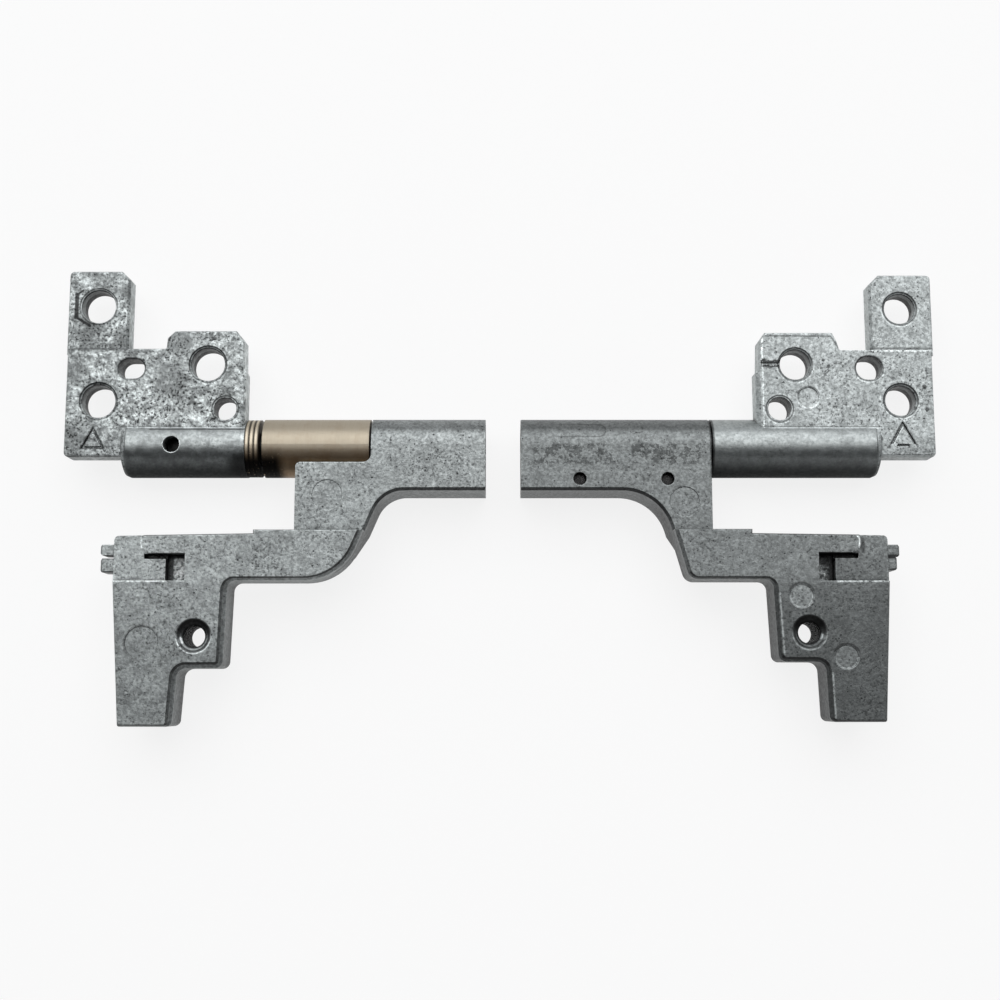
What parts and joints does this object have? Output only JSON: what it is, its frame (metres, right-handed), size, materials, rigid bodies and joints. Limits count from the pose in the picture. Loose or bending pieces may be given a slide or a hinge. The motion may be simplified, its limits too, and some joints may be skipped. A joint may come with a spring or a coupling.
{
  "type": "pair of laptop hinges",
  "caption": "Mirrored laptop hinges in cast zinc: drilled lid plates turn on steel shafts in stepped base brackets, with a bronze friction sleeve in an open saddle.",
  "frame": {"origin": "middle of the pair's footprint, on the surface that its barrels lie on", "axes": "+X to the right and +Y up in the picture, from the base blocks to the lid plates; +Z towards the camera. Both hinge axes lie along X."},
  "size_m": [0.0964, 0.0504, 0.0084],
  "materials": {
    "cast_zinc": "satin",
    "steel": "satin",
    "spring_steel": "satin",
    "bronze": "satin"
  },
  "bodies": {
    "bases": {"left_base_bracket": "cast_zinc", "left_friction_sleeve": "bronze", "left_friction_clip_1": "spring_steel", "left_friction_clip_2": "spring_steel", "right_base_bracket": "cast_zinc", "right_friction_clip_1": "spring_steel", "right_friction_clip_2": "spring_steel", "right_friction_clip_3": "spring_steel", "right_lock_pin_1": "steel", "right_lock_pin_2": "steel"},
    "left_lid": {"left_lid_bracket": "cast_zinc", "left_shaft": "steel", "left_lid_pin": "steel", "left_spring_ring_1": "bronze", "left_spring_ring_2": "bronze", "left_spring_ring_3": "bronze", "left_retaining_washer": "steel"},
    "right_lid": {"right_lid_bracket": "cast_zinc", "right_shaft": "steel", "right_thrust_shim": "spring_steel", "right_retaining_washer": "steel"}
  },
  "joints": [
    {"name": "left_hinge", "type": "hinge", "parent": "bases", "child": "left_lid", "pos_m": [-0.0281, 0.00535, 0.00325], "axis": [1, 0, 0], "range_deg": [-180, 0]},
    {"name": "right_hinge", "type": "hinge", "parent": "bases", "child": "right_lid", "pos_m": [0.0232, 0.00535, 0.00325], "axis": [1, 0, 0], "range_deg": [-180, 0]}
  ]
}
